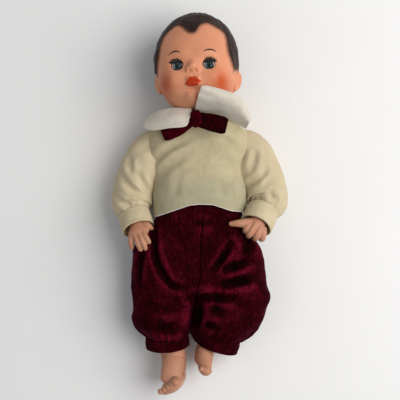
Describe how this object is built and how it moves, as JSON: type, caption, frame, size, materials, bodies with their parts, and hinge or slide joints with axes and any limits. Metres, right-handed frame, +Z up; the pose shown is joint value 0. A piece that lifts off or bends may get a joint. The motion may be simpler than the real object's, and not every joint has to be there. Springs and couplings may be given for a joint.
{
  "type": "baby doll",
  "caption": "Vintage vinyl baby doll lying on its back, with moulded hair, sleep eyes, jointed limbs, a cream collared shirt, velvet bow tie and cuffed knickerbockers.",
  "frame": {"origin": "middle of the doll's outline on the surface it lies on", "axes": "+X to the doll's left, +Y towards the crown, +Z up from the back to the face"},
  "size_m": [0.2036, 0.4404, 0.1147],
  "materials": {
    "skin_vinyl": "satin moulded vinyl",
    "hidden_vinyl": "plain moulded vinyl",
    "cream_velour": "soft velour nap",
    "collar_cotton": "plain cotton",
    "burgundy_velvet": "velvet pile",
    "eye_white": "gloss",
    "iris": "gloss",
    "lens": "clear",
    "eyelid": "satin",
    "lashes": "dark fibre",
    "steel": "plain wire",
    "lead": "dull cast",
    "eye_cup": "plain"
  },
  "bodies": {
    "torso": {"body_shell": "hidden_vinyl", "shirt_body": "cream_velour", "trouser_seat": "burgundy_velvet", "bow_knot": "burgundy_velvet", "bow_loop_right": "burgundy_velvet", "bow_loop_left": "burgundy_velvet", "collar_right": "collar_cotton", "collar_left": "collar_cotton"},
    "head": {"head_shell": "skin_vinyl", "eye_cup_right": "eye_cup", "eye_cup_left": "eye_cup"},
    "eyes": {"eyeball_right": "eye_white", "eyeball_left": "eye_white", "iris_right": "iris", "iris_left": "iris", "lens_right": "lens", "lens_left": "lens", "eyelid_right": "eyelid", "eyelid_left": "eyelid", "lashes_right": "lashes", "lashes_left": "lashes", "eye_axle": "steel", "eye_weight": "lead"},
    "right_arm": {"arm_right": "skin_vinyl", "sleeve_right": "cream_velour", "sleeve_cuff_right": "cream_velour"},
    "right_leg": {"leg_right": "skin_vinyl", "trouser_leg_right": "burgundy_velvet", "trouser_cuff_right": "burgundy_velvet"},
    "left_arm": {"arm_left": "skin_vinyl", "sleeve_left": "cream_velour", "sleeve_cuff_left": "cream_velour"},
    "left_leg": {"leg_left": "skin_vinyl", "trouser_leg_left": "burgundy_velvet", "trouser_cuff_left": "burgundy_velvet"}
  },
  "joints": [
    {"name": "neck_turn", "type": "hinge", "parent": "torso", "child": "head", "pos_m": [-0.00135, 0.11498, 0.0511], "axis": [-0.0166, 0.9902, -0.1384], "range_deg": [-60, 60]},
    {"name": "eyes_rock", "type": "hinge", "parent": "head", "child": "eyes", "pos_m": [-0.00707, 0.15302, 0.09417], "axis": [0.994, 0.0312, 0.1045], "range_deg": [0, 55]},
    {"name": "right_shoulder", "type": "hinge", "parent": "torso", "child": "right_arm", "pos_m": [-0.04197, 0.06512, 0.035], "axis": [-1, 0, 0], "range_deg": [0, 105], "deforming": ["collar_right"]},
    {"name": "left_shoulder", "type": "hinge", "parent": "torso", "child": "left_arm", "pos_m": [0.04203, 0.06512, 0.035], "axis": [-1, 0, 0], "range_deg": [0, 105], "deforming": ["collar_left"]},
    {"name": "right_hip", "type": "hinge", "parent": "torso", "child": "right_leg", "pos_m": [-0.02397, -0.07488, 0.033], "axis": [-0.8, -0.6, 0], "range_deg": [0, 80], "deforming": ["trouser_leg_right"]},
    {"name": "left_hip", "type": "hinge", "parent": "torso", "child": "left_leg", "pos_m": [0.02403, -0.07488, 0.033], "axis": [-0.8, 0.6, 0], "range_deg": [0, 80], "deforming": ["trouser_leg_left"]}
  ]
}
